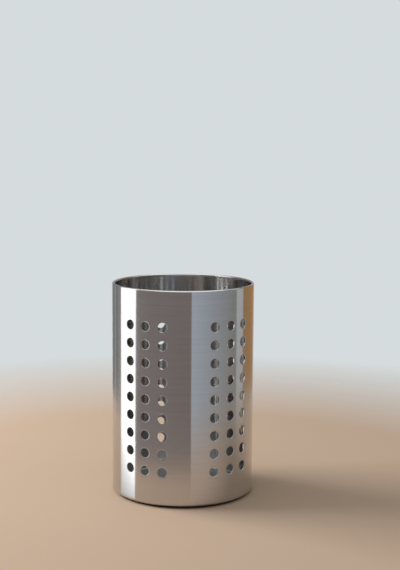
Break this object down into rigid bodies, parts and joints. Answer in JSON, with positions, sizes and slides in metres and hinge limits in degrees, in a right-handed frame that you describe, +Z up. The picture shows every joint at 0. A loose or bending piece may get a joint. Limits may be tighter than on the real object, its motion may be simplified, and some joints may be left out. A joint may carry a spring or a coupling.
{
  "type": "cutlery holder",
  "caption": "Free-standing round steel cup with punched vent holes, an inward-curled rim, a pressed base and a dark foot ring, for cutlery and kitchen utensils.",
  "frame": {"origin": "on the holder's axis at the worktop, under the middle of the foot ring", "axes": "+Z up along the axis of the wall, -Y towards the middle column of one hole group, the wall's weld on +Y"},
  "size_m": [0.12, 0.12, 0.18],
  "materials": {
    "wall_steel": "satin, brushed round the wall",
    "base_steel": "satin, as pressed",
    "foot_plastic": "matt black moulding"
  },
  "bodies": {
    "root": {"perforated_wall": "wall_steel", "base_pan": "base_steel", "foot_ring": "foot_plastic"}
  },
  "joints": []
}
